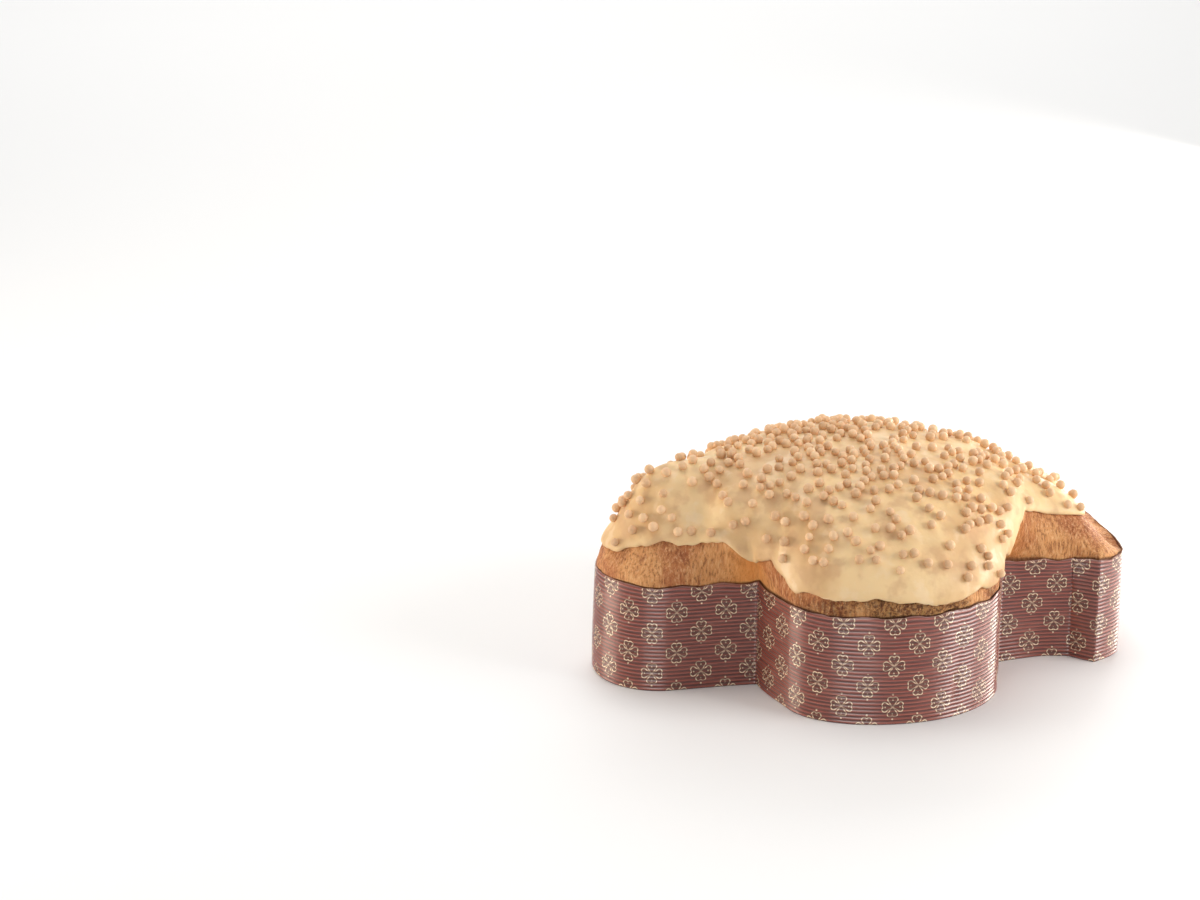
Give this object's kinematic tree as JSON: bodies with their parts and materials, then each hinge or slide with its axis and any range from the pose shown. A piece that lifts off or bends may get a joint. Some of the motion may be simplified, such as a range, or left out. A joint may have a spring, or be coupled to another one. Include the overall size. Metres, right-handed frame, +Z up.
{
  "type": "colomba easter bread",
  "caption": "Dove-shaped sweet easter bread in its paper baking case, iced with pale caramel chocolate and strewn with crisp chocolate pearls.",
  "frame": {"origin": "on the floor under the middle of the part's bounding box", "axes": "+X from the dove's head to its tail, -Y and +Y its two wings, +Z up"},
  "size_m": [0.3104, 0.2176, 0.1334],
  "materials": {
    "paper_case": "ribbed burgundy baking paper with a pale gold flower print",
    "bread": "browned, finely wrinkled crust",
    "icing": "satin caramel chocolate icing with crisp chocolate pearls"
  },
  "bodies": {
    "root": {"paper_case": "paper_case", "bread": "bread", "icing": "icing"}
  },
  "joints": []
}
